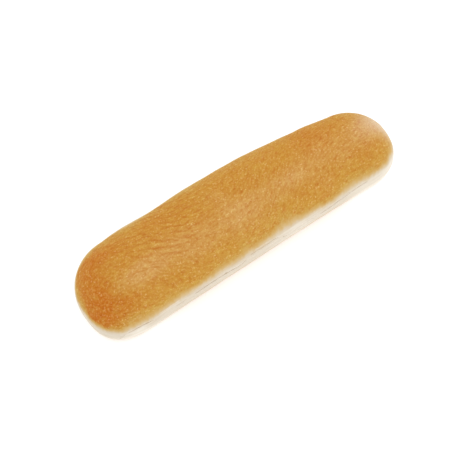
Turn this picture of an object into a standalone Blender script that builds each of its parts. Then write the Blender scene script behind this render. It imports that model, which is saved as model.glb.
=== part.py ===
"""A hot dog bun: one long soft roll with a flat base, a domed crust and a knife slit along its front side.

The bun lies along X with its plumper end at -X, rests on z = 0 and shows its slit at -Y. Its whole surface
is one sheet, wound round the loaf: "around" follows the outline seen from above, and "up" follows the section
from the middle of the base, out round the foot, up the side and over the dome to the crown line.
"""

import math

import bmesh
import bpy

# Driving sizes, in metres
LENGTH = 0.175
HEIGHT = 0.036
NEAR_HALF_WIDTH = 0.0234  # the plumper end, at -X
FAR_HALF_WIDTH = 0.0180  # what the taper tends to beyond the slimmer end, at +X
NEAR_END_REACH = 0.0253  # how far the round end stands out past its focus
FAR_END_REACH = 0.0222
TAPER_FROM_X = -0.029
TAPER_TO_X = 0.120
BOW = 0.0037  # how far the middle of the loaf stands back from its two ends
BELLY_HEIGHT = 0.012  # level of the widest outline
FOOT_INSET = 0.005  # how far the flat base lies inside the widest outline
CROWN_FALL = 0.003  # how much lower the crown is at the two ends
DOME_POWER = 2.1  # 2 is an ellipse, more is a squarer shoulder

# Swells of the back side, each a centre along X, a reach and a height
BACK_SWELLS = ((-0.054, 0.012, 0.0011), (0.025, 0.040, 0.0015))

# Roundness of the four corners of the outline: 2 is an ellipse, more is squarer
NEAR_FRONT_CORNER, NEAR_BACK_CORNER = 2.73, 2.15
FAR_FRONT_CORNER, FAR_BACK_CORNER = 2.8, 1.8

# The dimpled unevenness of the dome, as (waves per metre along X, waves per metre across Y, phase, height)
UNEVEN_WAVES = (
    (11.0, 16.0, 0.4, 0.00020),
    (19.0, -23.0, 1.9, 0.00014),
    (34.0, 12.0, 3.1, 0.00009),
)
UNEVEN_FROM_HEIGHT, UNEVEN_WHOLE_HEIGHT = 0.009, 0.027

# The knife slit in the front side
SLIT_WIDTH = 0.0006
SLIT_DEPTH = 0.0035  # only as deep as the closed slit can be seen into
SLIT_HEIGHT = 0.0149
SLIT_END_RISE = 0.0018  # how much higher the slit is at SLIT_FROM_X and SLIT_TO_X
SLIT_WAVE = 0.0011
SLIT_WAVE_TOP_X = 0.004
SLIT_HALF_WAVE = 0.036
SLIT_FROM_X, SLIT_TO_X = -0.0775, 0.073
SLIT_RUN_OUT = 0.006  # length over which the slit closes at its two ends
SLIT_DIP = 0.006  # how far the slit turns down as it closes at the near corner
UNCUT_ROW_GAP = 0.0028  # height between the slit's rows where the dough isn't cut

# How finely the sheet is divided
SIDE_DIVISIONS = 46  # along the straight front, and along the back
END_DIVISIONS = 22  # round each end
BASE_ROWS = 3  # from the middle of the base to the foot's edge
FLANK_ROWS = 7  # from the foot's edge up to the belly
DOME_ROWS = 15  # from the belly over the dome to the crown line
SLIT_ROW = BASE_ROWS + FLANK_ROWS + 2  # the row that runs along the bottom of the slit
WELD = 0.00002
SHARP_ANGLE = math.radians(50)

CRUST_COLOUR = (0.617, 0.305, 0.061, 1.0)
CRUST_ROUGHNESS = 0.45

NEAR_FOCUS_X = NEAR_END_REACH - LENGTH / 2
FAR_FOCUS_X = LENGTH / 2 - FAR_END_REACH
AROUND_DIVISIONS = 2 * (SIDE_DIVISIONS + END_DIVISIONS)
UP_DIVISIONS = BASE_ROWS + FLANK_ROWS + DOME_ROWS


def clear_scene():
    """Removes every object that the scene starts with."""
    for obj in list(bpy.data.objects):
        bpy.data.objects.remove(obj, do_unlink=True)


def ease(share):
    """A smooth step from 0 to 1 as share goes from 0 to 1."""
    share = min(max(share, 0.0), 1.0)
    return share * share * (3 - 2 * share)


def spine_y(x):
    """How far back the loaf's bowed middle line lies at x."""
    return BOW * (1 - (x / (LENGTH / 2)) ** 2)


def half_width(x, on_back):
    """Half the loaf's width at x, on its back side or on its front side."""
    width = NEAR_HALF_WIDTH + (FAR_HALF_WIDTH - NEAR_HALF_WIDTH) * ease(
        (x - TAPER_FROM_X) / (TAPER_TO_X - TAPER_FROM_X)
    )
    if on_back:
        width += sum(high * math.exp(-(((x - centre) / reach) ** 2)) for centre, reach, high in BACK_SWELLS)
    return width


def end_radius(focus_x, turn, reach, corner):
    """Distance from an end's focus to the outline, turn radians from the loaf's axis: a superellipse."""
    side = half_width(focus_x, turn > 0)
    along = (math.cos(turn) / reach) ** corner
    across = (abs(math.sin(turn)) / side) ** corner
    return (along + across) ** (-1 / corner)


def outline_station(step):
    """The middle-line point x, the outward direction and the radius of one step round the outline.

    Steps run along the front to +X, round the far end, back along the back side and round the near end.
    """
    run = FAR_FOCUS_X - NEAR_FOCUS_X
    if step <= SIDE_DIVISIONS:
        x = NEAR_FOCUS_X + run * step / SIDE_DIVISIONS
        return x, (0.0, -1.0), half_width(x, on_back=False)
    step -= SIDE_DIVISIONS
    if step < END_DIVISIONS:
        turn = math.pi * (step / END_DIVISIONS - 0.5)
        corner = FAR_BACK_CORNER if turn > 0 else FAR_FRONT_CORNER
        radius = end_radius(FAR_FOCUS_X, turn, FAR_END_REACH, corner)
        return FAR_FOCUS_X, (math.cos(turn), math.sin(turn)), radius
    step -= END_DIVISIONS
    if step <= SIDE_DIVISIONS:
        x = FAR_FOCUS_X - run * step / SIDE_DIVISIONS
        return x, (0.0, 1.0), half_width(x, on_back=True)
    step -= SIDE_DIVISIONS
    turn = math.pi * (0.5 - step / END_DIVISIONS)
    corner = NEAR_BACK_CORNER if turn > 0 else NEAR_FRONT_CORNER
    radius = end_radius(NEAR_FOCUS_X, turn, NEAR_END_REACH, corner)
    return NEAR_FOCUS_X, (-math.cos(turn), math.sin(turn)), radius


def section_point(row, radius):
    """(distance from the middle line, height) of a row of the section, where rows may be whole or between."""
    foot = radius - FOOT_INSET
    if row <= BASE_ROWS:
        return foot * row / BASE_ROWS, 0.0
    if row <= BASE_ROWS + FLANK_ROWS:
        turn = math.pi / 2 * (row - BASE_ROWS) / FLANK_ROWS
        return foot + FOOT_INSET * math.sin(turn), BELLY_HEIGHT * (1 - math.cos(turn))
    turn = math.pi / 2 * (row - BASE_ROWS - FLANK_ROWS) / DOME_ROWS
    out = max(math.cos(turn), 0.0) ** (2 / DOME_POWER)
    rise = math.sin(turn) ** (2 / DOME_POWER)
    return radius * out, BELLY_HEIGHT + (HEIGHT - BELLY_HEIGHT) * rise


def row_at_height(height):
    """The row, whole or between, at which the section's side reaches a height above the base."""
    if height <= BELLY_HEIGHT:
        return BASE_ROWS + FLANK_ROWS * 2 / math.pi * math.acos(1 - height / BELLY_HEIGHT)
    rise = (height - BELLY_HEIGHT) / (HEIGHT - BELLY_HEIGHT)
    return BASE_ROWS + FLANK_ROWS + DOME_ROWS * 2 / math.pi * math.asin(rise ** (DOME_POWER / 2))


def slit_height(x):
    """The level of the slit at x: higher at both ends, slowly waving, and turned down at the near corner."""
    end_share = 2 * (x - (SLIT_FROM_X + SLIT_TO_X) / 2) / (SLIT_TO_X - SLIT_FROM_X)
    wave = SLIT_WAVE * math.cos(math.pi * (x - SLIT_WAVE_TOP_X) / SLIT_HALF_WAVE)
    dip = SLIT_DIP * ease((SLIT_FROM_X - x) / SLIT_RUN_OUT)
    return SLIT_HEIGHT + SLIT_END_RISE * min(end_share**2, 1.0) + wave - dip


def slit_openness(x, on_front):
    """How open the slit is at x, from 0 to 1: open along the front side, and closing towards its two ends."""
    if not on_front:
        return 0.0
    opens = ease((x - SLIT_FROM_X) / SLIT_RUN_OUT + 1)
    closes = ease((SLIT_TO_X - x) / SLIT_RUN_OUT)
    return opens * closes


def rows_through_slit(x, openness):
    """Where each row goes so that three of them run along the slit's lower lip, bottom and upper lip."""
    level = slit_height(x)
    gap = openness * SLIT_WIDTH / 2 + (1 - openness) * UNCUT_ROW_GAP
    middle = row_at_height(level)
    above = row_at_height(level + gap)
    below = row_at_height(level - gap)
    rows = []
    for row in range(UP_DIVISIONS + 1):
        if row <= BASE_ROWS:
            rows.append(row)
        elif row < SLIT_ROW:
            share = (row - BASE_ROWS) / (SLIT_ROW - 1 - BASE_ROWS)
            rows.append(BASE_ROWS + (below - BASE_ROWS) * share)
        elif row == SLIT_ROW:
            rows.append(middle)
        else:
            share = (row - SLIT_ROW - 1) / (UP_DIVISIONS - SLIT_ROW - 1)
            rows.append(above + (UP_DIVISIONS - above) * share)
    return rows


def unevenness(x, y, height):
    """How far the dough's slow dimples raise a point: nothing at the base and all of it on the dome."""
    share = ease((height - UNEVEN_FROM_HEIGHT) / (UNEVEN_WHOLE_HEIGHT - UNEVEN_FROM_HEIGHT))
    waves = (
        high * math.sin(2 * math.pi * (along * x + across * y) + phase)
        for along, across, phase, high in UNEVEN_WAVES
    )
    return share * sum(waves)


def outline_middle_y():
    """The middle of the bowed outline's depth, which the finished loaf is set on."""
    stations = [outline_station(step) for step in range(AROUND_DIVISIONS)]
    edge = [spine_y(spine_x) + toward_y * radius for spine_x, (_, toward_y), radius in stations]
    return (min(edge) + max(edge)) / 2


def station_points(step, middle_y):
    """The points of one outline step's section, from the middle of the base up to the crown line."""
    spine_x, (toward_x, toward_y), radius = outline_station(step)
    belly_x = spine_x + toward_x * radius
    openness = slit_openness(belly_x, on_front=toward_y < 0)
    points = []
    for row, along_section in enumerate(rows_through_slit(belly_x, openness)):
        out, height = section_point(along_section, radius)
        if row == SLIT_ROW:
            out -= SLIT_DEPTH * openness
        x = spine_x + toward_x * out
        y = spine_y(spine_x) + toward_y * out - middle_y
        height -= CROWN_FALL * (x / (LENGTH / 2)) ** 2 * height / HEIGHT
        height += unevenness(x, y, height)
        points.append((x, y, height))
    return points


def crust_material():
    """The baked crust's plain finish: golden brown, with a slight sheen."""
    material = bpy.data.materials.new("baked_crust")
    material.use_nodes = True
    shader = material.node_tree.nodes["Principled BSDF"]
    shader.inputs["Base Color"].default_value = CRUST_COLOUR
    shader.inputs["Roughness"].default_value = CRUST_ROUGHNESS
    shader.inputs["Metallic"].default_value = 0.0
    return material


def make_bun(collection):
    """Winds a grid into the closed loaf, whose seams meet at the middle of the base and at the crown line."""
    middle_y = outline_middle_y()
    sections = [station_points(step, middle_y) for step in range(AROUND_DIVISIONS)]
    shape = bmesh.new()
    bmesh.ops.create_grid(shape, x_segments=AROUND_DIVISIONS, y_segments=UP_DIVISIONS, size=0.5)
    for vertex in shape.verts:
        step = round((vertex.co.x + 0.5) * AROUND_DIVISIONS) % AROUND_DIVISIONS
        row = round((vertex.co.y + 0.5) * UP_DIVISIONS)
        vertex.co = sections[step][row]
    bmesh.ops.remove_doubles(shape, verts=shape.verts, dist=WELD)
    bmesh.ops.recalc_face_normals(shape, faces=shape.faces)
    mesh = bpy.data.meshes.new("bun")
    shape.to_mesh(mesh)
    shape.free()
    mesh.shade_smooth()
    mesh.set_sharp_from_angle(angle=SHARP_ANGLE)
    mesh.materials.append(crust_material())
    bun = bpy.data.objects.new("bun", mesh)
    collection.objects.link(bun)
    return bun


def main():
    clear_scene()
    loaf = bpy.data.collections.new("hot_dog_bun")
    bpy.context.scene.collection.children.link(loaf)
    make_bun(loaf)


main()
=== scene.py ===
"""Dresses a hot dog bun: a soft roll with a golden domed crust, pale sides and a closed knife slit.

The loaf's surface is one closed sheet on a grid of two parameters. "Around" runs along the front side to
the far end at +X, round it, back along the back side and round the near end. "Up" runs from the middle of
the flat base out to the foot's edge, up the side, through the slit and over the dome to the crown line.
"""

from __future__ import annotations

import logging
import math
from dataclasses import dataclass
from enum import Enum

import bpy
import numpy as np
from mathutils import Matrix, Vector

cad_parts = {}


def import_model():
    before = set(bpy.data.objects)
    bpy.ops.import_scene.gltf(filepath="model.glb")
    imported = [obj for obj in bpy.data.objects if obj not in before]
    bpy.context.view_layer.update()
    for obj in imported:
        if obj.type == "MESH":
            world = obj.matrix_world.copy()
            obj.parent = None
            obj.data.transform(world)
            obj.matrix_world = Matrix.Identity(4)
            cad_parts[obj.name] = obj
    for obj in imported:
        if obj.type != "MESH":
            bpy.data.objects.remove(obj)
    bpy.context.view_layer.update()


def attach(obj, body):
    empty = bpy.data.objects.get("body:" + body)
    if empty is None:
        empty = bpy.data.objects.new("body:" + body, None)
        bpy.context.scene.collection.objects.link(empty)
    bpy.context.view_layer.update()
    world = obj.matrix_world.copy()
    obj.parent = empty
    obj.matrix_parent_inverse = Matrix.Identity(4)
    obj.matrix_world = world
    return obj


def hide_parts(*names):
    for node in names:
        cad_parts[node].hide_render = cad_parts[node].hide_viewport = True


MM = 0.001
LOG = logging.getLogger("hot_dog_bun")
Colour = tuple[float, float, float, float]
Track = tuple[tuple[float, float], ...]  # (place, value) pairs with rising places
# the loaf's own attributes that its finish reads, one value a vertex; some of them paint sheen, a highlight,
# light and shade
FIELD_NAMES = (
    "above_edge",
    "toasted",
    "painted_crown_sheen",
    "pale_tip_and_highlight",
    "wrinkle",
    "foot",
    "base",
    "pale_side_and_painted_light",
    "crumb_and_painted_shade",
)
# numbers of the sockets by which a Mix node blends two colours
MIX_SHARE, MIX_BELOW, MIX_ABOVE, MIX_RESULT = 0, 6, 7, 2


def ease(share: np.ndarray) -> np.ndarray:
    """Smooth step from 0 to 1: three times the square of the clipped share less twice its cube."""
    held = np.clip(share, 0.0, 1.0)
    return held * held * (3 - 2 * held)


def bell(offset: np.ndarray) -> np.ndarray:
    """A bell curve: 1 at offset 0, falling as the exponential of minus the offset's square."""
    return np.exp(-(offset**2))


def between(start: float, end: float, share: np.ndarray) -> np.ndarray:
    """A straight run from start, where the share is 0, to end, where it is 1."""
    return start + (end - start) * share


@dataclass(frozen=True)
class Rise:
    """A smooth rise from 0 at one value to 1 at another, which may be the lower of the two."""

    start: float | np.ndarray
    full: float | np.ndarray

    def at(self, values: np.ndarray) -> np.ndarray:
        """The eased share of the way from the start to the full."""
        return ease((values - self.start) / (self.full - self.start))


@dataclass(frozen=True)
class Swell:
    """A bell-shaped swell of some value along X."""

    x: float
    reach: float
    high: float

    def at(self, x: np.ndarray) -> np.ndarray:
        """How much the value swells at places along X."""
        return self.high * bell((x - self.x) / self.reach)


def hex_colour(code: str) -> Colour:
    """Turns an sRGB hex code into linear red, green, blue and alpha.

    By the sRGB rule, a share of up to 0.04045 is divided by 12.92. A larger one has 0.055 added to it, is
    divided by 1.055 and is raised to the power 2.4.

    Args:
        code: six hex digits, such as "ce9646".

    Returns:
        The linear colour, with an alpha of 1.
    """
    shares = [int(code[at : at + 2], 16) / 255 for at in (0, 2, 4)]
    linear = [share / 12.92 if share <= 0.04045 else ((share + 0.055) / 1.055) ** 2.4 for share in shares]
    return (linear[0], linear[1], linear[2], 1.0)


def path_through(points: Track, at: np.ndarray) -> np.ndarray:
    """Smooth curve through a few points, read at given places.

    Between two points it is a cubic. Its slope at a point is the mean of the slopes on the point's two
    sides, in which the shorter side counts for more.

    Args:
        points: (place, value) pairs with rising places.
        at: the places to read.

    Returns:
        The curve's values there.
    """
    place, value = np.array(points).T
    slope = np.gradient(value, place)
    left = np.clip(np.searchsorted(place, at) - 1, 0, len(place) - 2)
    span = place[left + 1] - place[left]
    share = np.clip((at - place[left]) / span, 0.0, 1.0)
    square, cube = share**2, share**3
    return (
        (2 * cube - 3 * square + 1) * value[left]
        + (cube - 2 * square + share) * span * slope[left]
        + (3 * square - 2 * cube) * value[left + 1]
        + (cube - square) * span * slope[left + 1]
    )


class Draw(Enum):
    """The seed of each random relief, so that no two share a pattern."""

    CRUST_EDGE = 11
    WRINKLE_BEND = 21
    WRINKLE_FINE_BEND = 22
    WRINKLE_GAPS = 23
    DIMPLES = 31
    GRAIN = 32
    STREAKS = 33
    LIPS = 41


@dataclass(frozen=True)
class DoughNoise:
    """Smooth random relief in space, between about -1 and 1 and the same each run."""

    draw: Draw
    table_size: int = 4096
    gain: float = 1.7  # brings the blend of slopes to about 1
    scatter: tuple[int, int, int] = (73856093, 19349663, 83492791)  # large odd numbers, one for each axis

    def at(self, points: np.ndarray, cell_mm: tuple[float, float, float]) -> np.ndarray:
        """Gradient noise: each corner of a lattice holds a random slope, and a point blends eight of them.

        Along each axis the upper corner's weight is 6 times the fifth power of the share of the way, less 15
        times its fourth power, plus 10 times its third.

        Args:
            points: places in metres, one row each.
            cell_mm: the lattice's spacing along X, Y and Z.

        Returns:
            One value a point.
        """
        slopes = np.random.default_rng(self.draw.value).normal(size=(self.table_size, 3))
        slopes /= np.linalg.norm(slopes, axis=1, keepdims=True)
        scaled = points / (MM * np.array(cell_mm))
        corner = np.floor(scaled).astype(np.int64)
        inside = scaled - corner
        eased = inside**3 * (inside * (inside * 6 - 15) + 10)
        total = np.zeros(len(points))
        for offset in np.ndindex(2, 2, 2):
            lattice = (corner + np.array(offset)) * np.array(self.scatter)
            drawn = lattice[:, 0] ^ lattice[:, 1] ^ lattice[:, 2]
            slope = slopes[drawn % self.table_size]
            weight = np.prod(np.where(np.array(offset) == 1, eased, 1 - eased), axis=1)
            total += weight * np.sum((inside - np.array(offset)) * slope, axis=1)
        return total * self.gain


@dataclass(frozen=True)
class Stations:
    """The outline's stations as arrays: the middle line's point, the direction outwards and the radius."""

    spine_x: np.ndarray
    spine_y: np.ndarray
    toward_x: np.ndarray
    toward_y: np.ndarray
    radius: np.ndarray

    @property
    def belly_x(self) -> np.ndarray:
        """Where the widest outline stands along X."""
        return self.spine_x + self.toward_x * self.radius

    @property
    def belly_y(self) -> np.ndarray:
        """Where the widest outline stands along Y."""
        return self.spine_y + self.toward_y * self.radius

    @property
    def belly(self) -> np.ndarray:
        """Where the widest outline stands, as points at height 0."""
        return np.stack([self.belly_x, self.belly_y, np.zeros_like(self.belly_x)], axis=1)

    @property
    def on_front(self) -> np.ndarray:
        """Whether a station looks to the front side."""
        return self.toward_y < 0


@dataclass(frozen=True)
class Outline:
    """The loaf's bowed, tapered outline seen from above, in metres."""

    length: float = 0.175
    near_half_width: float = 0.0234
    far_half_width: float = 0.0180
    near_end_reach: float = 0.0253
    far_end_reach: float = 0.0222
    taper: Rise = Rise(-0.029, 0.120)  # along X, from the near half width to the far one
    bow: float = 0.0037
    # the back side's swells and one shallow dip
    back_swells: tuple[Swell, ...] = (
        Swell(-0.054, 0.012, 0.0011),
        Swell(-0.034, 0.010, -0.0004),
        Swell(0.025, 0.040, 0.0015),
        Swell(0.052, 0.007, 0.0005),
    )
    near_corners: tuple[float, float] = (2.73, 2.08)  # front and back, where 2 is an ellipse
    far_corners: tuple[float, float] = (2.8, 1.8)
    side_divisions: int = 250
    end_divisions: int = 130

    @property
    def near_focus_x(self) -> float:
        """Where the near end's sections all start from."""
        return self.near_end_reach - self.length / 2

    @property
    def far_focus_x(self) -> float:
        """Where the far end's sections all start from."""
        return self.length / 2 - self.far_end_reach

    def spine_y(self, x: np.ndarray) -> np.ndarray:
        """The bowed middle line: a parabola, back by the bow at the middle and by nothing at the tips."""
        return self.bow * (1 - (x / (self.length / 2)) ** 2)

    def half_width(self, x: np.ndarray, on_back: np.ndarray | bool) -> np.ndarray:
        """Half the width: an eased taper from near to far, and a bell for each swell on the back side."""
        swells = sum(swell.at(x) for swell in self.back_swells)
        return between(self.near_half_width, self.far_half_width, self.taper.at(x)) + swells * on_back

    def end_radius(
        self, turn: np.ndarray, focus_x: float, reach: float, corners: tuple[float, float]
    ) -> np.ndarray:
        """Radius of a round end, a superellipse with one power on its front and one on its back.

        Cosine over reach and sine over half width, each to the power, are added up. The radius is the sum to
        the power of minus one over the power.

        Args:
            turn: angles from the loaf's axis, negative on the front.
            focus_x: where the end's sections start.
            reach: how far the end stands out past the focus.
            corners: the powers on the front and on the back.

        Returns:
            The radii.
        """
        power = np.where(turn > 0, corners[1], corners[0])
        side = self.half_width(np.full_like(turn, focus_x), turn > 0)
        along = (np.abs(np.cos(turn)) / reach) ** power
        across = (np.abs(np.sin(turn)) / side) ** power
        return (along + across) ** (-1 / power)

    def stations(self) -> Stations:
        """Every station round the outline, set so that the widest outline is centred on Y.

        Returns:
            The stations: front side, far end, back side and near end.
        """
        share = np.arange(self.side_divisions) / self.side_divisions
        run = self.far_focus_x - self.near_focus_x
        turn = math.pi * (np.arange(self.end_divisions) / self.end_divisions - 0.5)
        straight = np.zeros(self.side_divisions)
        front_x = self.near_focus_x + run * share
        back_x = self.far_focus_x - run * share
        far = self.end_radius(turn, self.far_focus_x, self.far_end_reach, self.far_corners)
        near = self.end_radius(-turn, self.near_focus_x, self.near_end_reach, self.near_corners)
        spine_x = np.concatenate(
            [front_x, np.full_like(far, self.far_focus_x), back_x, np.full_like(near, self.near_focus_x)]
        )
        toward_x = np.concatenate([straight, np.cos(turn), straight, -np.cos(turn)])
        toward_y = np.concatenate([straight - 1, np.sin(turn), straight + 1, -np.sin(turn)])
        radius = np.concatenate([self.half_width(front_x, False), far, self.half_width(back_x, True), near])
        spine_y = self.spine_y(spine_x)
        edge_y = spine_y + toward_y * radius
        middle_y = (edge_y.min() + edge_y.max()) / 2
        return Stations(spine_x, spine_y - middle_y, toward_x, toward_y, radius)

    def seam_place(self) -> np.ndarray:
        """For each station, its place on the crown line, which front and back stations share.

        Returns:
            Whole numbers from 0 at the near focus to side_divisions at the far focus.
        """
        side, end = self.side_divisions, self.end_divisions
        rising, falling = np.arange(side), side - np.arange(side)
        return np.concatenate([rising, np.full(end, side), falling, np.zeros(end, int)])


@dataclass(frozen=True)
class Section:
    """The loaf's section: a flat base, a flank that swells to the belly and a dome, in metres."""

    height: float = 0.036
    belly_height: float = 0.012
    foot_inset: float = 0.005
    dome_power: float = 2.1
    crown_fall: float = 0.003
    base_end: float = 1.0  # places along the section: 0 to 1 base, 1 to 2 flank, 2 to 3 dome
    flank_end: float = 2.0
    crown: float = 3.0

    def point(self, place: np.ndarray, radius: np.ndarray) -> tuple[np.ndarray, np.ndarray]:
        """Distance from the middle line and height at a place along the section.

        The base runs straight out. The flank is a quarter ellipse from the foot's edge to the belly. The dome
        is a quarter superellipse: cosine and sine of the turn, each to the power two over the dome's power.

        Args:
            place: 0 to 1 on the base, to 2 on the flank and to 3 on the dome.
            radius: the station's radius.

        Returns:
            The distances and the heights.
        """
        foot = radius - self.foot_inset
        flank_turn = np.clip(place - self.base_end, 0, 1) * math.pi / 2
        dome_turn = np.clip(place - self.flank_end, 0, 1) * math.pi / 2
        flank_out = foot + self.foot_inset * np.sin(flank_turn)
        flank_up = self.belly_height * (1 - np.cos(flank_turn))
        dome_out = radius * np.clip(np.cos(dome_turn), 0, 1) ** (2 / self.dome_power)
        dome_up = (self.height - self.belly_height) * np.sin(dome_turn) ** (2 / self.dome_power)
        side_out = np.where(place <= self.flank_end, flank_out, dome_out)
        out = np.where(place <= self.base_end, foot * place, side_out)
        return out, flank_up + np.where(place > self.flank_end, dome_up, 0.0)

    def place_at(self, height: np.ndarray) -> np.ndarray:
        """The place along the section where the side reaches a height: the inverse of the section's height.

        Args:
            height: heights above the base.

        Returns:
            Places from 1 to 3.
        """
        low = np.clip(height / self.belly_height, 0, 1)
        high = np.clip((height - self.belly_height) / (self.height - self.belly_height), 0, 1)
        flank = self.base_end + np.arccos(1 - low) * 2 / math.pi
        dome = self.flank_end + np.arcsin(high ** (self.dome_power / 2)) * 2 / math.pi
        return np.where(height <= self.belly_height, flank, dome)


@dataclass(frozen=True)
class OpenStretch:
    """A stretch of the slit where its lips stand apart, in mm."""

    start: float
    end: float
    half_mouth: float
    depth: float

    def window(self, x: np.ndarray, run_in: float) -> np.ndarray:
        """From 0 outside the stretch to 1 inside it, eased over the run-in at each end."""
        return ease((x - self.start) / run_in) * ease((self.end - x) / run_in)


@dataclass(frozen=True)
class KnifeSlit:
    """The closed knife slit along the front side: its line, and the stretches where its lips stand apart."""

    # (x, height) in mm: round the near corner, along the side in slow waves, and level past its far end
    path_mm: Track = (
        (-88.0, 13.8), (-83.5, 7.5), (-80.6, 5.0), (-79.0, 9.5), (-77.0, 13.8), (-73.0, 15.7),
        (-68.0, 16.7), (-63.0, 16.0), (-48.0, 14.2), (-36.0, 13.9), (-26.0, 14.1), (-20.5, 13.9),
        (-11.0, 13.0), (-4.5, 16.4), (2.0, 15.9), (10.0, 16.0), (13.5, 13.4), (25.0, 13.2), (37.0, 12.8),
        (45.0, 13.9), (51.5, 15.0), (55.0, 15.9), (64.0, 16.7), (73.0, 16.6), (88.0, 15.0),
    )
    open_stretches: tuple[OpenStretch, ...] = (
        OpenStretch(-82.5, -74.5, 0.12, 0.6),
        OpenStretch(-75.5, -61.0, 0.22, 1.3),
        OpenStretch(-49.5, -42.0, 0.18, 0.9),
        OpenStretch(-38.5, -21.0, 0.27, 1.8),
        OpenStretch(-22.4, -18.0, 0.60, 2.8),
        OpenStretch(-20.0, -8.0, 0.30, 2.0),
        OpenStretch(-6.5, 11.0, 0.18, 1.0),
        OpenStretch(12.0, 34.0, 0.13, 0.6),
        OpenStretch(35.0, 54.5, 0.23, 1.4),
        OpenStretch(53.5, 64.5, 0.20, 1.1),
    )
    run_in_mm: float = 2.5
    uneven_mm: float = 2.6  # length of the places where the lips touch again
    apart: float = 0.85  # how far apart the lips stand in an open stretch, as a share
    apart_by: float = 1.1  # how much that varies
    apart_range: tuple[float, float] = (0.25, 1.35)
    least_half_mouth_mm: float = 0.08
    closed_half_mouth_mm: float = 0.5  # only spaces the slit's rows, where it isn't open
    # the slit's rows up from its line, and the reach of the cut's bell, in halves of the mouth
    spread: tuple[float, ...] = (-2.4, -1.5, -0.9, -0.45, 0.0, 0.45, 0.9, 1.5, 2.4)
    cut_reach: float = 0.9

    def level(self, stations: Stations) -> np.ndarray:
        """The slit line's height at each station, level on the back side.

        Args:
            stations: the outline's stations.

        Returns:
            Heights in metres.
        """
        x = stations.belly_x / MM
        (near_x, near_height), (far_x, far_height) = self.path_mm[0], self.path_mm[-1]
        behind = np.interp(x, (near_x, far_x), (near_height, far_height))
        return MM * np.where(stations.on_front, path_through(self.path_mm, x), behind)

    def mouth(self, stations: Stations) -> tuple[np.ndarray, np.ndarray]:
        """How open the slit is at each station.

        Args:
            stations: the outline's stations.

        Returns:
            Half the mouth's width and the depth, in metres.
        """
        noise = DoughNoise(Draw.LIPS).at(stations.belly, (self.uneven_mm,) * 3)
        apart = np.clip(self.apart + self.apart_by * noise, *self.apart_range) * stations.on_front
        x = stations.belly_x / MM
        windows = [stretch.window(x, self.run_in_mm) * apart for stretch in self.open_stretches]
        openness = np.clip(np.max(windows, axis=0), 0, 1)
        pairs = list(zip(windows, self.open_stretches))
        width = np.max([window * stretch.half_mouth for window, stretch in pairs], axis=0)
        depth = np.max([window * stretch.depth for window, stretch in pairs], axis=0)
        open_half = np.maximum(width, self.least_half_mouth_mm) * openness
        half = open_half + self.closed_half_mouth_mm * (1 - openness)
        return MM * half, MM * depth


@dataclass(frozen=True)
class CrustEdge:
    """The line on the side above which the dough has browned."""

    # (x, height) in mm, from the near tip to the far one, along the front side and along the back side
    front_mm: Track = (
        (-88.0, 14.9), (-84.0, 15.9), (-78.0, 16.2), (-72.0, 17.8), (-66.0, 17.5), (-58.0, 17.7),
        (-46.0, 17.9), (-33.0, 17.7), (-22.0, 18.4), (-15.0, 17.6), (-6.0, 18.8), (0.0, 18.2),
        (7.0, 18.8), (14.0, 20.1), (20.0, 19.6), (28.0, 18.2), (34.0, 17.9), (41.0, 16.7), (46.0, 17.4),
        (54.0, 19.1), (64.0, 18.5), (74.0, 18.5), (81.0, 18.9), (88.0, 19.4),
    )
    back_mm: Track = (
        (-88.0, 15.1), (-80.0, 18.7), (-70.0, 20.3), (-58.0, 21.2), (-48.0, 24.0), (-36.0, 22.6),
        (-14.0, 22.2), (-3.0, 20.4), (10.0, 20.8), (26.0, 20.6), (36.0, 21.8), (47.0, 18.8), (60.0, 19.2),
        (70.0, 21.2), (88.0, 20.0),
    )
    uneven_mm: float = 0.4
    uneven_cell_mm: float = 5.0
    # (x, how quickly the crust pales there), along both sides
    quickness: Track = (
        (-88.0, 1.3), (-80.0, 1.45), (-72.0, 0.78), (-64.0, 0.82), (-58.0, 1.0), (-48.0, 1.0),
        (-36.0, 1.15), (-14.0, 0.8), (4.0, 0.85), (17.0, 0.72), (28.0, 1.0), (46.0, 1.05), (56.0, 0.85),
        (66.0, 1.0), (76.0, 0.9), (88.0, 0.85),
    )

    def sharpness(self, x_mm: np.ndarray) -> np.ndarray:
        """How quickly the crust pales at places along the loaf."""
        return path_through(self.quickness, x_mm)

    def line(self, stations: Stations) -> np.ndarray:
        """The edge's height at each station: a smooth path for each side, and slow noise.

        Args:
            stations: the outline's stations.

        Returns:
            Heights in mm.
        """
        x = stations.belly_x / MM
        level = np.where(stations.on_front, path_through(self.front_mm, x), path_through(self.back_mm, x))
        noise = DoughNoise(Draw.CRUST_EDGE).at(stations.belly, (self.uneven_cell_mm,) * 3)
        return level + self.uneven_mm * noise


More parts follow.
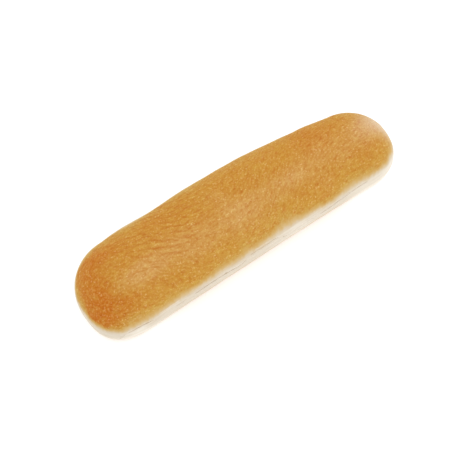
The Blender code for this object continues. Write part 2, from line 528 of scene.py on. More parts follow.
@dataclass(frozen=True)
class CrustRelief:
    """What rising and baking did to the skin: slow lumps, dimples, fine grain and drying wrinkles."""

    # (waves a metre along X, waves a metre across Y, phase, height) of the dome's slow unevenness
    slow_waves: tuple[tuple[float, float, float, float], ...] = (
        (11.0, 16.0, 0.4, 0.00020),
        (19.0, -23.0, 1.9, 0.00014),
        (34.0, 12.0, 3.1, 0.00009),
    )
    slow_height: Rise = Rise(0.009, 0.027)
    # in mm: the crust's relief sets in above the crust edge, all relief above the base, and none is in a cut
    above_edge: Rise = Rise(-0.5, 3.5)
    above_base: Rise = Rise(0.0, 3.0)
    in_cut: Rise = Rise(0.0, 0.2)
    # (cell, height) in mm, and what shares of the two show on the pale side
    dimple_mm: tuple[float, float] = (7.0, 0.13)
    grain_mm: tuple[float, float] = (1.5, 0.055)
    side_shares: tuple[float, float] = (0.5, 0.4)
    streak_mm: tuple[float, float, float] = (14.0, 1.3, 0.06)  # length, pitch and height, on the pale side
    wrinkle_pitch_mm: float = 3.3
    wrinkle_mm: float = 0.08
    wrinkle_power: int = 4  # makes the troughs narrow
    # (cell, reach) in mm of the noise that bends the wrinkles
    wrinkle_bend_mm: tuple[float, float] = (9.0, 1.5)
    wrinkle_fine_bend_mm: tuple[float, float] = (3.0, 0.5)
    wrinkle_depth: float = 0.85  # as a share, before noise breaks the wrinkles up
    wrinkle_gap_mm: tuple[float, float, float] = (6.0, 3.5, 5.0)
    # (x, fall) in mm: how far the lines along which the dough was stretched have stepped down
    fall_mm: Track = (
        (-88, 0.0), (-64, 0.0), (-54, 1.2), (-42, 6.0), (-30, 10.9), (-18, 12.8), (-6, 12.2), (6, 8.2),
        (18, -1.0), (30, -10.2), (42, -16.9), (54, -22.0), (66, -24.6), (88, -25.0),
    )
    stretch: float = 1.9
    wrinkle_middle_mm: tuple[float, float] = (-39.0, 7.0)
    wrinkle_reach_mm: tuple[float, float] = (33.0, 22.0)

    def slow(self, points: np.ndarray) -> np.ndarray:
        """The dome's slow unevenness: a sum of plane sine waves, eased in from the flank to the dome.

        Args:
            points: places in metres.

        Returns:
            Heights in metres.
        """
        x, y, z = points.T
        waves = sum(
            high * np.sin(2 * math.pi * (along * x + across * y) + phase)
            for along, across, phase, high in self.slow_waves
        )
        return self.slow_height.at(z) * waves

    def stretched(self, points: np.ndarray) -> np.ndarray:
        """Places for patterns drawn along the stretched dough: X over the stretch, and Y plus the fall."""
        x, y, z = points.T
        return np.stack([x / self.stretch, y + MM * path_through(self.fall_mm, x / MM), z], axis=1)

    def wrinkles(self, points: np.ndarray) -> np.ndarray:
        """Drying wrinkles: narrow troughs at even steps across the stretched dough, bent and broken by noise.

        A trough is half of one plus the cosine of its phase, to the wrinkles' power. The patch fades out as
        the exponential of minus the fourth power of the distance over its reach.

        Args:
            points: places in metres.

        Returns:
            From 0 between the wrinkles to 1 in a trough.
        """
        x, y = points[:, 0] / MM, points[:, 1] / MM
        bend_cell, bend_reach = self.wrinkle_bend_mm
        fine_cell, fine_reach = self.wrinkle_fine_bend_mm
        bend = bend_reach * DoughNoise(Draw.WRINKLE_BEND).at(points, (bend_cell,) * 3)
        fine_bend = fine_reach * DoughNoise(Draw.WRINKLE_FINE_BEND).at(points, (fine_cell,) * 3)
        phase = (self.stretched(points)[:, 1] / MM + bend + fine_bend) / self.wrinkle_pitch_mm
        trough = (0.5 + 0.5 * np.cos(2 * math.pi * phase)) ** self.wrinkle_power
        gaps = DoughNoise(Draw.WRINKLE_GAPS).at(points, self.wrinkle_gap_mm)
        broken = np.clip(self.wrinkle_depth + gaps, 0, 1)
        away_x = (x - self.wrinkle_middle_mm[0]) / self.wrinkle_reach_mm[0]
        away_y = (y - self.wrinkle_middle_mm[1]) / self.wrinkle_reach_mm[1]
        return trough * broken * bell(np.hypot(away_x, away_y) ** 2)

    def height(
        self, points: np.ndarray, above_mm: np.ndarray, depth: np.ndarray, wrinkles: np.ndarray
    ) -> np.ndarray:
        """The whole relief along the surface's normal.

        Args:
            points: places in metres.
            above_mm: height above the crust edge.
            depth: how deep the slit cuts each point, in metres.
            wrinkles: the wrinkles' troughs.

        Returns:
            Heights in metres, positive outwards.
        """
        dimple_cell, dimple_height = self.dimple_mm
        grain_cell, grain_height = self.grain_mm
        length, pitch, streak_height = self.streak_mm
        dimples = dimple_height * DoughNoise(Draw.DIMPLES).at(points, (dimple_cell,) * 3)
        grain = grain_height * DoughNoise(Draw.GRAIN).at(points, (grain_cell,) * 3)
        streaks = streak_height * DoughNoise(Draw.STREAKS).at(points, (length, length, pitch))
        on_crust = dimples + grain - self.wrinkle_mm * wrinkles
        on_side = self.side_shares[0] * dimples + self.side_shares[1] * grain + streaks
        crust = self.above_edge.at(above_mm)
        shown = self.above_base.at(points[:, 2] / MM) * (1 - self.in_cut.at(depth / MM))
        return MM * (on_crust * crust + on_side * (1 - crust)) * shown


@dataclass(frozen=True)
class Patch:
    """A soft patch on the crust seen from above, in mm."""

    x: float
    y: float
    reach_x: float
    reach_y: float
    strength: float

    def at(self, x: np.ndarray, y: np.ndarray) -> np.ndarray:
        """The patch's strength at places in mm: a bell of the distance over the reach."""
        return self.strength * bell(np.hypot((x - self.x) / self.reach_x, (y - self.y) / self.reach_y))


@dataclass(frozen=True)
class BakeMap:
    """Where the oven coloured the loaf more or less, and where light and shade are painted on, in mm."""

    toasted: tuple[Patch, ...] = (
        Patch(-80, -1, 10, 14, 0.68),
        Patch(-82, -11, 8, 7, 0.60),
        Patch(-74, 13, 9, 6, 0.50),
        Patch(-64, 10, 9, 6, 0.42),
        Patch(-70, -16, 12, 5, 0.54),
        Patch(-43, 11, 15, 6, 0.28),
        Patch(-27, -13, 10, 4, 0.12),
        Patch(66, -11, 11, 4, 0.27),
        Patch(47, 3, 12, 12, 0.44),
        Patch(62, 6, 9, 6, 0.20),
        Patch(50, 12, 9, 4, 0.12),
        Patch(-12, 12, 14, 5, 0.14),
        Patch(14, 13, 13, 6, 0.24),
    )
    # painted sheen: a paler, less saturated band along the crown, as soft light from above would gloss it
    painted_crown_sheen: tuple[Patch, ...] = (
        Patch(-57, -8, 12, 5, 0.95),
        Patch(-36, -6, 17, 8, 0.60),
        Patch(-3, -8, 17, 8, 0.82),
        Patch(-8, 5, 6, 6, 0.34),
        Patch(28, -6, 15, 6, 0.74),
        Patch(43, -15, 6, 4, 0.30),
        Patch(50, -1, 14, 9, 0.39),
        Patch(57, -9, 9, 5, 0.25),
        Patch(-28, -13, 9, 4, 0.26),
        Patch(73, -2, 12, 9, 0.64),
    )
    # a paler crust at the far tip, with a painted highlight on it as from a light past the far end
    pale_tip_and_highlight: tuple[Patch, ...] = (
        Patch(90, -1, 8, 14, 1.00),
        Patch(80, 1, 10, 9, 0.40),
        Patch(70, -4, 12, 7, 0.12),
    )
    # swells where the front's pale side is lighter; with the low rise below, these paint light on the side
    pale_side_and_painted_light: tuple[Swell, ...] = (
        Swell(-70, 7, 0.60),
        Swell(23, 13, 0.42),
        Swell(60, 8, 0.34),
        Swell(80, 12, 0.55),
    )
    # along Y to the front and to the back, and along X from each end to the middle
    front: Rise = Rise(0.0, -8.0)
    back: Rise = Rise(4.0, 12.0)
    from_near: Rise = Rise(-66.0, -34.0)
    from_far: Rise = Rise(68.0, 36.0)
    # by height above the base, down to the tray
    # low: painted light that lifts the side's lower part where the floor shades it, most at the ends
    low: Rise = Rise(11.0, 6.0)
    foot: Rise = Rise(8.2, 3.8)
    base: Rise = Rise(2.5, 0.0)
    # by height above the crust edge
    below_edge: Rise = Rise(0.5, -3.0)
    pale_tip_highlight_above: Rise = Rise(-1.5, 1.5)
    toasted_on_crown: Rise = Rise(4.0, 10.0)
    toasted_at_side: Rise = Rise(1.5, 5.0)
    back_as_side: float = 0.9  # how much the back's toasting follows the sides' rule
    # how deep in the slit the crumb sets in, painted darker, as shaded
    crumb_shade_depth: Rise = Rise(0.0, 0.5)
    # strengths at the ends and in the middle, and what share of the painted light low on the side and of the
    # tan foot the back has
    low_strength: tuple[float, float] = (0.75, 0.05)
    low_on_back: float = 0.4
    foot_strength: tuple[float, float] = (0.20, 0.92)
    foot_on_back: float = 0.35

    def strength(self, points: np.ndarray, patches: tuple[Patch, ...]) -> np.ndarray:
        """Adds up the strengths of some patches at places in metres, up to 1."""
        x, y = points[:, 0] / MM, points[:, 1] / MM
        return np.clip(sum(patch.at(x, y) for patch in patches), 0, 1)

    def fields(self, points: np.ndarray, above_mm: np.ndarray, depth: np.ndarray) -> dict[str, np.ndarray]:
        """The fields by which the finish is coloured, from 0 to 1.

        Args:
            points: the uncut form's places in metres.
            above_mm: height above the crust edge.
            depth: how deep the slit cuts each point, in metres.

        Returns:
            Attribute names with their values.
        """
        x, y, z = (points / MM).T
        front = self.front.at(y)
        middle = self.from_near.at(x) * self.from_far.at(x)
        # painted light on the side's lower part, where the floor shades it
        low = self.low.at(z) * between(*self.low_strength, middle) * between(self.low_on_back, 1.0, front)
        bright = sum(swell.at(x) for swell in self.pale_side_and_painted_light) * front * self.below_edge.at(above_mm)
        foot = between(*self.foot_strength, middle * between(self.foot_on_back, 1.0, front))
        at_side = np.maximum(front, self.back_as_side * self.back.at(y))
        crown, side = self.toasted_on_crown, self.toasted_at_side
        toasting = Rise(between(crown.start, side.start, at_side), between(crown.full, side.full, at_side))
        return {
            "toasted": self.strength(points, self.toasted) * toasting.at(above_mm),
            # painted sheen along the crown
            "painted_crown_sheen": self.strength(points, self.painted_crown_sheen),
            # paler crust and a painted highlight at the far tip
            "pale_tip_and_highlight": self.strength(points, self.pale_tip_and_highlight) * self.pale_tip_highlight_above.at(above_mm),
            "foot": self.foot.at(z) * foot,
            "base": self.base.at(z),
            # painted light on the pale side
            "pale_side_and_painted_light": np.clip(bright + low, 0, 1),
            # the slit's crumb, painted darker, as shaded
            "crumb_and_painted_shade": self.crumb_shade_depth.at(depth / MM),
        }


def add_node(
    tree: bpy.types.NodeTree,
    kind: str,
    settings: dict[str, object] | None = None,
    links: dict[str | int, object] | None = None,
) -> bpy.types.Node:
    """Adds a shader node with its settings and links.

    Args:
        tree: the material's node tree.
        kind: the node's type name.
        settings: property names with their values.
        links: input names or numbers, each with an output socket to link or a plain value to set.

    Returns:
        The new node.
    """
    node = tree.nodes.new(kind)
    for name, value in (settings or {}).items():
        setattr(node, name, value)
    for key, value in (links or {}).items():
        if isinstance(value, bpy.types.NodeSocket):
            tree.links.new(value, node.inputs[key])
        else:
            node.inputs[key].default_value = value
    return node


class Skin(Enum):
    """Which part of the skin a tint is laid on, by height against the crust edge."""

    CRUST = "crust"
    SIDE = "side"
    WHOLE = "whole"


class Follows(Enum):
    """What a random pattern is laid out on."""

    PLACE = "place"
    STRETCH = "stretch"  # the skin's own attribute, drawn out the way the dough was stretched


@dataclass(frozen=True)
class Pattern:
    """A random cloud pattern of a real size."""

    cell_mm: float
    detail: float = 2.0
    follows: Follows = Follows.PLACE
    squeeze: tuple[float, float, float] = (1.0, 1.0, 1.0)  # below 1 draws it out along that axis


class Lays(Enum):
    """How a tint meets the colour below it, by the name Blender gives that."""

    OVER = "MIX"
    LIGHTENS = "ADD"
    DARKENS = "MULTIPLY"


@dataclass(frozen=True)
class Tint:
    """One colour over those below it, from nothing at one value of its source to its strength at another."""

    colour: str
    source: str  # a pattern's or an attribute's name
    start: float
    full: float
    strength: float
    skin: Skin = Skin.CRUST
    lays: Lays = Lays.OVER
    broken_by: str = ""  # a second pattern that thins it out
    broken: tuple[float, float] = (0.35, 0.65)


@dataclass(frozen=True)
class BakedBread:
    """Wheat bread baked in a close row: a thin brown crust on top, and pale soft skin where loaves met.

    The crust's top is golden brown with orange and olive-gold clouds and a low sheen; a broader sheen along
    the crown and a highlight on the far tip are painted on. Its skin is drawn into fine creases, darker and
    redder, with pale grains between them. It pales through honey and beige to a cream side that is quite
    matte, and the side is painted lighter low down, as lit, where the floor shades it. The foot took the
    tray's heat and is tan. The crumb in the slit is painted darker, as shaded.
    """

    name: str = "baked_bread"
    # (mm above the crust edge, colour)
    ramp: tuple[tuple[float, str], ...] = (
        (-3.6, "e6dac7"),
        (-1.8, "e3d5be"),
        (-0.5, "dfcbaa"),
        (0.9, "d9bb87"),
        (2.4, "d2ab66"),
        (4.3, "cc9f4c"),
        (7.0, "cc9841"),
        (13.0, "cb913b"),
    )
    # clouds of browning, and the skin's grains, creases and pores, which are drawn no finer than 0.8 mm, or
    # they wouldn't show in a picture of the whole bun
    patterns: tuple[tuple[str, Pattern], ...] = (
        ("clouds", Pattern(9.0, 2.0)),
        ("patches", Pattern(4.2, 2.0)),
        ("grain", Pattern(1.15, 2.0, Follows.STRETCH)),
        ("fine_grain", Pattern(0.8, 1.0)),
        ("blush", Pattern(2.4, 1.0, Follows.STRETCH)),
        ("specks", Pattern(0.85, 0.0)),
        ("flecks", Pattern(2.1, 1.0, Follows.STRETCH)),
        ("streaks", Pattern(1.4, 2.0, Follows.PLACE, (0.10, 0.10, 1.0))),
        ("fringe", Pattern(2.0, 1.0, Follows.PLACE, (1.0, 1.0, 0.4))),
    )
    tints: tuple[Tint, ...] = (
        Tint("cb9430", "clouds", 0.46, 0.66, 0.25),
        Tint("c98439", "patches", 0.48, 0.72, 0.28),
        Tint("c77624", "toasted", 0.0, 1.0, 1.0, Skin.CRUST, Lays.OVER, "patches", (0.15, 0.56)),
        # painted sheen: the crown paled where soft light from above would gloss it
        Tint("d8a866", "painted_crown_sheen", 0.0, 1.0, 0.85, Skin.CRUST, Lays.OVER, "patches", (0.90, 0.25)),
        Tint("c06c26", "flecks", 0.40, 0.22, 0.44),
        Tint("c97c2c", "blush", 0.42, 0.26, 0.32),
        Tint("f3dfc8", "grain", 0.54, 0.26, 0.78, Skin.CRUST, Lays.DARKENS),
        Tint("6f8450", "grain", 0.50, 0.76, 0.32, Skin.CRUST, Lays.LIGHTENS),
        # paler crust and a painted highlight on the far tip
        Tint("e6ccab", "pale_tip_and_highlight", 0.0, 1.0, 0.93, Skin.WHOLE, Lays.OVER, "patches", (0.10, 0.40)),
        Tint("f3dfc8", "fine_grain", 0.48, 0.24, 0.60, Skin.CRUST, Lays.DARKENS),
        Tint("7d7c64", "fine_grain", 0.52, 0.78, 0.37, Skin.CRUST, Lays.LIGHTENS),
        Tint("7d8068", "specks", 0.68, 0.80, 0.60, Skin.CRUST, Lays.LIGHTENS),
        Tint("bd6c24", "wrinkle", 0.10, 0.90, 0.50),
        # painted light: the pale side lifted low down, where the floor shades it, and at swells along the
        # front
        Tint("fbf3e5", "pale_side_and_painted_light", 0.0, 1.0, 1.0, Skin.SIDE),
        Tint("d8c5af", "streaks", 0.46, 0.28, 0.45, Skin.SIDE),
        Tint("f6ede1", "streaks", 0.54, 0.72, 0.40, Skin.SIDE),
        Tint("d6b484", "foot", 0.0, 1.0, 1.0, Skin.WHOLE, Lays.OVER, "patches", (-0.2, 0.50)),
        Tint("dbac66", "base", 0.0, 1.0, 1.0, Skin.WHOLE),
        Tint("c68c46", "base", 0.0, 1.0, 0.85, Skin.WHOLE, Lays.OVER, "clouds", (0.44, 0.64)),
        Tint("e8c894", "base", 0.0, 1.0, 0.60, Skin.WHOLE, Lays.OVER, "patches", (0.52, 0.70)),
        Tint("b37f42", "base", 0.0, 1.0, 0.50, Skin.WHOLE, Lays.OVER, "specks", (0.56, 0.70)),
        # painted shade: the crumb in the slit drawn darker than crumb is, as in shadow
        Tint("c7ae8c", "crumb_and_painted_shade", 0.0, 1.0, 0.9, Skin.WHOLE),
    )
    crust_roughness: float = 0.58
    side_roughness: float = 0.9
    specular: float = 0.045
    # patterns that push the crust edge up or down, with how far in mm
    edge_fray: tuple[tuple[str, float], ...] = (("patches", 2.2), ("fringe", 2.4))
    # mm above the crust edge where the tints of the crust and of the side start and are whole
    crust_mm: tuple[float, float] = (1.5, 5.0)
    side_mm: tuple[float, float] = (1.5, -0.5)
    thinnest: float = 0.35  # what a broken tint keeps where it is thinnest
    bump_strength: tuple[float, float] = (0.10, 0.35)  # off the crust and on it
    bump_mm: float = 0.16

    def share(self, above_mm: float | np.ndarray) -> float | np.ndarray:
        """A height above the crust edge as a share of the ramp's length."""
        low, high = self.ramp[0][0], self.ramp[-1][0]
        return (above_mm - low) / (high - low)

    def pattern_values(self, tree: bpy.types.NodeTree) -> dict[str, bpy.types.NodeSocket]:
        """Adds a noise texture for each pattern, in object coordinates or along the stretched dough.

        Args:
            tree: the material's node tree.

        Returns:
            Each pattern's value output by its name.
        """
        place = add_node(tree, "ShaderNodeTexCoord").outputs["Object"]
        stretch = add_node(tree, "ShaderNodeAttribute", {"attribute_name": "stretch"}).outputs["Vector"]
        values = {}
        for name, pattern in self.patterns:
            source = stretch if pattern.follows is Follows.STRETCH else place
            at = add_node(tree, "ShaderNodeMapping", {}, {"Vector": source, "Scale": pattern.squeeze})
            inputs = {"Vector": at.outputs[0], "Scale": 1 / (pattern.cell_mm * MM), "Detail": pattern.detail}
            values[name] = add_node(tree, "ShaderNodeTexNoise", {}, inputs).outputs["Fac"]
        return values

    def lay(
        self,
        tree: bpy.types.NodeTree,
        under: bpy.types.NodeSocket,
        tint: Tint,
        values: dict[str, bpy.types.NodeSocket],
        skins: dict[Skin, bpy.types.NodeSocket | float],
    ) -> bpy.types.NodeSocket:
        """Lays one tint over a colour, by its source's value times its part of the skin.

        Args:
            tree: the material's node tree.
            under: the colour below.
            tint: what is laid.
            values: the patterns' and attributes' value sockets by name.
            skins: each part of the skin's mask.

        Returns:
            The new colour's socket.
        """
        smooth, times = {"interpolation_type": "SMOOTHSTEP"}, {"operation": "MULTIPLY"}
        run = {"Value": values[tint.source], "From Min": tint.start, "From Max": tint.full}
        run["To Max"] = tint.strength
        share = add_node(tree, "ShaderNodeMapRange", smooth, run).outputs[0]
        share = add_node(tree, "ShaderNodeMath", times, {0: share, 1: skins[tint.skin]}).outputs[0]
        if tint.broken_by:
            run = {"Value": values[tint.broken_by], "From Min": tint.broken[0], "From Max": tint.broken[1]}
            run["To Min"] = self.thinnest
            thin = add_node(tree, "ShaderNodeMapRange", smooth, run).outputs[0]
            share = add_node(tree, "ShaderNodeMath", times, {0: share, 1: thin}).outputs[0]
        mixing = {"data_type": "RGBA", "blend_type": tint.lays.value}
        mixed = {MIX_SHARE: share, MIX_BELOW: under, MIX_ABOVE: hex_colour(tint.colour)}
        return add_node(tree, "ShaderNodeMix", mixing, mixed).outputs[MIX_RESULT]

    def material(self) -> bpy.types.Material:
        """Builds the bread's material.

        Returns:
            The material.
        """
        material = bpy.data.materials.new(self.name)
        material.use_nodes = True
        tree = material.node_tree
        tree.nodes.clear()
        values = self.pattern_values(tree)
        for name in FIELD_NAMES:
            values[name] = add_node(tree, "ShaderNodeAttribute", {"attribute_name": name}).outputs["Fac"]
        length_mm = self.ramp[-1][0] - self.ramp[0][0]
        above = values["above_edge"]
        for name, reach_mm in self.edge_fray:
            share = reach_mm / length_mm
            push = {0: values[name], 1: share, 2: above}
            pushed = add_node(tree, "ShaderNodeMath", {"operation": "MULTIPLY_ADD"}, push).outputs[0]
            level = {0: pushed, 1: share / 2}
            above = add_node(tree, "ShaderNodeMath", {"operation": "SUBTRACT"}, level).outputs[0]
        smooth = {"interpolation_type": "SMOOTHSTEP"}
        crust_start, crust_whole = (self.share(above_mm) for above_mm in self.crust_mm)
        side_start, side_whole = (self.share(above_mm) for above_mm in self.side_mm)
        crust = {"Value": above, "From Min": crust_start, "From Max": crust_whole}
        side = {"Value": above, "From Min": side_start, "From Max": side_whole}
        skins = {
            Skin.CRUST: add_node(tree, "ShaderNodeMapRange", smooth, crust).outputs[0],
            Skin.SIDE: add_node(tree, "ShaderNodeMapRange", smooth, side).outputs[0],
            Skin.WHOLE: 1.0,
        }
        ramp = add_node(tree, "ShaderNodeValToRGB", {}, {"Fac": above})
        elements = ramp.color_ramp.elements
        while len(elements) < len(self.ramp):
            elements.new(1.0)
        for element, (above_mm, code) in zip(elements, self.ramp):
            element.position = self.share(above_mm)
            element.color = hex_colour(code)
        colour = ramp.outputs["Color"]
        for tint in self.tints:
            colour = self.lay(tree, colour, tint, values, skins)
        matte = {"Value": skins[Skin.CRUST], "To Min": self.side_roughness, "To Max": self.crust_roughness}
        roughness = add_node(tree, "ShaderNodeMapRange", {}, matte).outputs[0]
        grains = {0: values["grain"], 1: values["fine_grain"]}
        height = add_node(tree, "ShaderNodeMath", {"operation": "ADD"}, grains).outputs[0]
        rough = {"Value": skins[Skin.CRUST], "To Min": self.bump_strength[0], "To Max": self.bump_strength[1]}
        strength = add_node(tree, "ShaderNodeMapRange", {}, rough).outputs[0]
        raised = {"Height": height, "Strength": strength, "Distance": self.bump_mm * MM}
        bump = add_node(tree, "ShaderNodeBump", {}, raised).outputs[0]
        surface = {"Base Color": colour, "Roughness": roughness, "Normal": bump}
        surface["Specular IOR Level"] = self.specular
        shader = add_node(tree, "ShaderNodeBsdfPrincipled", {}, surface)
        add_node(tree, "ShaderNodeOutputMaterial", {}, {"Surface": shader.outputs[0]})
        return material


@dataclass(frozen=True)
class PaleFloor:
    """A plain tabletop of milky plastic lit from below, as goods are pictured on white."""

    name: str = "pale_tabletop"
    colour: str = "dadada"
    roughness: float = 0.9
    specular: float = 0.1
    glow_colour: str = "ffffff"
    glow: float = 0.47  # the light that shines up through it

    def material(self) -> bpy.types.Material:
        """Builds the floor's material.

        Returns:
            The material.
        """
        material = bpy.data.materials.new(self.name)
        material.use_nodes = True
        shader = material.node_tree.nodes["Principled BSDF"]
        shader.inputs["Base Color"].default_value = hex_colour(self.colour)
        shader.inputs["Roughness"].default_value = self.roughness
        shader.inputs["Specular IOR Level"].default_value = self.specular
        shader.inputs["Emission Color"].default_value = hex_colour(self.glow_colour)
        shader.inputs["Emission Strength"].default_value = self.glow
        return material


@dataclass
class Loaf:
    """The bun's one piece: its grid, its relief, the fields its finish reads, and its mesh."""

    name: str = "loaf"
    outline: Outline = Outline()
    section: Section = Section()
    slit: KnifeSlit = KnifeSlit()
    crust_edge: CrustEdge = CrustEdge()
    relief: CrustRelief = CrustRelief()
    bake: BakeMap = BakeMap()
    finish: BakedBread = BakedBread()
    base_rows: int = 12
    lower_rows: int = 30
    upper_rows: int = 66

    def places(self, stations: Stations) -> tuple[np.ndarray, np.ndarray]:
        """Where each row lies along each station's section, and how deep the slit cuts it there.

        Rows are even on the base, from the foot's edge to the slit and from the slit to the crown. The slit's
        own rows lie at set multiples of half its mouth, and its depth falls away from its line as a bell.

        Args:
            stations: the outline's stations.

        Returns:
            Places along the section and depths in metres, one row for each station.
        """
        half, depth = self.slit.mouth(stations)
        spread = np.array(self.slit.spread)
        heights = self.slit.level(stations)[:, None] + half[:, None] * spread
        cut = self.section.place_at(heights)
        base_share = np.linspace(0, 1, self.base_rows, endpoint=False)
        base = np.broadcast_to(base_share, (len(half), self.base_rows))
        low_share = np.linspace(0, 1, self.lower_rows, endpoint=False)
        lower = self.section.base_end + (cut[:, :1] - self.section.base_end) * low_share
        high_share = np.linspace(0, 1, self.upper_rows + 1)[1:]
        upper = cut[:, -1:] + (self.section.crown - cut[:, -1:]) * high_share
        places = np.concatenate([base, lower, cut, upper], axis=1)
        depths = np.zeros_like(places)
        first = self.base_rows + self.lower_rows
        depths[:, first : first + len(spread)] = depth[:, None] * bell(spread / self.slit.cut_reach)
        return places, depths

    def form(self, stations: Stations, places: np.ndarray, depths: np.ndarray) -> np.ndarray:
        """The loaf's smooth form on the grid: the section carried round the outline, less the slit.

        Args:
            stations: the outline's stations.
            places: places along the section.
            depths: how far each point is cut in.

        Returns:
            Points in metres, station by row.
        """
        out, height = self.section.point(places, stations.radius[:, None])
        out = out - depths
        x = stations.spine_x[:, None] + stations.toward_x[:, None] * out
        y = stations.spine_y[:, None] + stations.toward_y[:, None] * out
        fall = self.section.crown_fall * (x / (self.outline.length / 2)) ** 2 * height / self.section.height
        return np.stack([x, y, height - fall], axis=-1)

    def normals(self, points: np.ndarray) -> np.ndarray:
        """Outward normals of the uncut form: the cross product of its two grid directions.

        Args:
            points: the uncut form's points.

        Returns:
            Unit normals, which point straight up or down where a grid direction vanishes.
        """
        around = np.roll(points, -1, axis=0) - np.roll(points, 1, axis=0)
        up = np.gradient(points, axis=1)
        across = np.cross(around, up)
        hint = 1e-9  # square metres, so small that it decides only where a direction vanishes
        across[..., 2] += np.where(points[..., 2] > self.section.belly_height, hint, -hint)
        return across / np.linalg.norm(across, axis=-1, keepdims=True)

    def vertex_numbers(self, rows: int) -> np.ndarray:
        """Numbers the grid's vertices so that the two seams are closed.

        The base's middle row and the crown's row each hold one vertex for each place on the crown line. Every
        other row holds one for each station.

        Args:
            rows: how many rows the grid has.

        Returns:
            Vertex numbers, station by row.
        """
        seam = self.outline.seam_place()
        count = len(seam)
        inner = np.arange(count * (rows - 2)).reshape(count, rows - 2)
        base_seam = inner.size + seam
        crown_seam = inner.size + self.outline.side_divisions + 1 + seam
        return np.concatenate([base_seam[:, None], inner, crown_seam[:, None]], axis=1)

    def faces(self, numbers: np.ndarray) -> list[list[int]]:
        """The grid's faces, facing out, with a triangle wherever a side of a quad has closed up.

        Args:
            numbers: the vertex numbers, station by row.

        Returns:
            Each face's vertex numbers.
        """
        following = np.roll(numbers, -1, axis=0)
        corners = [numbers[:, :-1], following[:, :-1], following[:, 1:], numbers[:, 1:]]
        quads = np.stack(corners, axis=-1).reshape(-1, 4)
        low_shut = quads[:, 0] == quads[:, 1]
        high_shut = quads[:, 2] == quads[:, 3]
        whole = quads[~low_shut & ~high_shut]
        return whole.tolist() + quads[low_shut][:, 1:].tolist() + quads[high_shut][:, :3].tolist()

    def build(self) -> bpy.types.Object:
        """Builds the loaf's mesh with its relief and its finish.

        Returns:
            The piece, riding on the root body in place of the bun's plain solid.
        """
        stations = self.outline.stations()
        places, depths = self.places(stations)
        uncut = self.form(stations, places, np.zeros_like(depths))
        cut = self.form(stations, places, depths)
        normals = self.normals(uncut)
        numbers = self.vertex_numbers(places.shape[1])
        order = np.zeros(numbers.max() + 1, int)
        order[numbers.ravel()] = np.arange(numbers.size)
        smooth, points, normal = (grid.reshape(-1, 3)[order] for grid in (uncut, cut, normals))
        depth = depths.ravel()[order]
        edge = np.repeat(self.crust_edge.line(stations), places.shape[1])[order]
        above_mm = (smooth[:, 2] / MM - edge) * self.crust_edge.sharpness(smooth[:, 0] / MM)
        fields = self.bake.fields(smooth, above_mm, depth)
        fields["above_edge"] = self.finish.share(above_mm)
        fields["wrinkle"] = self.relief.wrinkles(smooth)
        relief = self.relief.height(smooth, above_mm, depth, fields["wrinkle"])
        points = points + normal * relief[:, None]
        points[:, 2] += self.relief.slow(smooth)
        mesh = bpy.data.meshes.new(self.name)
        mesh.from_pydata(points.tolist(), [], self.faces(numbers))
        mesh.update()
        mesh.shade_smooth()
        for name in FIELD_NAMES:
            layer = mesh.attributes.new(name, "FLOAT", "POINT")
            layer.data.foreach_set("value", fields[name].astype(np.float32))
        layer = mesh.attributes.new("stretch", "FLOAT_VECTOR", "POINT")
        layer.data.foreach_set("vector", self.relief.stretched(smooth).astype(np.float32).ravel())
        mesh.materials.append(self.finish.material())
        piece = bpy.data.objects.new(self.name, mesh)
        bpy.context.scene.collection.objects.link(piece)
        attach(piece, "root")
        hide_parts("bun")
        return piece


@dataclass(frozen=True)
class Softbox:
    """A soft square light aimed at the middle of the bun's base, in metres and watts."""

    toward: tuple[float, float, float]
    distance: float
    side: float
    watts: float


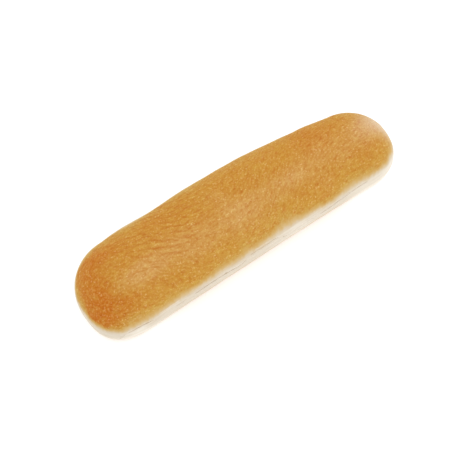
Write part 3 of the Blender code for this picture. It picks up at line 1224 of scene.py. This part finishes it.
@dataclass
class Studio:
    """The pale floor, the soft light and the camera, in metres and degrees."""

    floor_side: float = 6.0
    floor_level: float = 0.00003  # the bun sinks in by a hair, so that no two faces lie in one plane
    sky: str = "ffffff"
    sky_strength: float = 0.79
    azimuth: float = -33.5
    elevation: float = 65.0
    distance: float = 0.620
    target: tuple[float, float, float] = (0.0, -0.0030, 0.018)
    image_side: float = 475.0  # pixels
    focal_pixels: float = 1286.2
    target_pixel: tuple[float, float] = (239.0, 217.2)
    sensor: float = 36.0  # millimetres
    near_clip: float = 0.01
    softboxes: tuple[Softbox, ...] = (
        Softbox((0.23, -0.31, 0.92), 1.2, 0.9, 3.1),
        Softbox((0.945, 0.246, 0.211), 0.8, 0.35, 0.35),
        Softbox((-0.40, 0.78, 0.48), 1.0, 0.7, 1.0),
    )

    def camera(self) -> bpy.types.Object:
        """Aims a camera from the set azimuth and elevation so that the target falls on its pixel.

        The aim is the target moved along the camera's own right and up by the pixel's distance from the
        middle of the image, times the distance over the focal length in pixels.

        Returns:
            The camera.
        """
        turn, tilt = math.radians(self.azimuth), math.radians(self.elevation)
        back = Vector((math.sin(turn) * math.cos(tilt), -math.cos(turn) * math.cos(tilt), math.sin(tilt)))
        rotation = back.to_track_quat("Z", "Y")
        right, up = rotation @ Vector((1, 0, 0)), rotation @ Vector((0, 1, 0))
        metres_a_pixel = self.distance / self.focal_pixels
        middle = self.image_side / 2
        left_by = (self.target_pixel[0] - middle) * metres_a_pixel
        down_by = (middle - self.target_pixel[1]) * metres_a_pixel
        place = Vector(self.target) + back * self.distance
        aim = Vector(self.target) - right * left_by - up * down_by
        data = bpy.data.cameras.new("camera")
        data.sensor_width = self.sensor
        data.lens = self.focal_pixels * self.sensor / self.image_side
        data.clip_start = self.near_clip
        camera = bpy.data.objects.new("camera", data)
        camera.location = place
        camera.rotation_mode = "QUATERNION"
        camera.rotation_quaternion = (place - aim).to_track_quat("Z", "Y")
        bpy.context.scene.collection.objects.link(camera)
        bpy.context.scene.camera = camera
        return camera

    def floor(self) -> bpy.types.Object:
        """A square floor under the bun.

        Returns:
            The floor.
        """
        half, level = self.floor_side / 2, self.floor_level
        corners = [(-half, -half, level), (half, -half, level), (half, half, level), (-half, half, level)]
        mesh = bpy.data.meshes.new("floor")
        mesh.from_pydata(corners, [], [(0, 1, 2, 3)])
        mesh.materials.append(PaleFloor().material())
        floor = bpy.data.objects.new("floor", mesh)
        bpy.context.scene.collection.objects.link(floor)
        return floor

    def light(self) -> None:
        """Lights the scene with an even sky and soft square lights."""
        world = bpy.data.worlds.new("soft_sky")
        world.use_nodes = True
        sky = world.node_tree.nodes["Background"]
        sky.inputs["Color"].default_value = hex_colour(self.sky)
        sky.inputs["Strength"].default_value = self.sky_strength
        bpy.context.scene.world = world
        for number, box in enumerate(self.softboxes, start=1):
            data = bpy.data.lights.new(f"softbox_{number}", "AREA")
            data.size = box.side
            data.energy = box.watts
            light = bpy.data.objects.new(f"softbox_{number}", data)
            direction = Vector(box.toward).normalized()
            light.location = direction * box.distance
            light.rotation_mode = "QUATERNION"
            light.rotation_quaternion = direction.to_track_quat("Z", "Y")
            bpy.context.scene.collection.objects.link(light)

    def colours(self) -> None:
        """Shows colours as they are, with no filmic curve."""
        view = bpy.context.scene.view_settings
        view.view_transform = "Standard"
        view.look = "None"


def main() -> None:
    """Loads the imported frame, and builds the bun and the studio."""
    logging.basicConfig(level=logging.INFO, format="%(name)s: %(message)s")
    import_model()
    loaf = Loaf().build()
    LOG.info("%s: %d vertices, %d faces", loaf.name, len(loaf.data.vertices), len(loaf.data.polygons))
    studio = Studio()
    LOG.info("%s laid", studio.floor().name)
    LOG.info("%s aimed", studio.camera().name)
    studio.light()
    studio.colours()


if __name__ == "__main__":
    main()
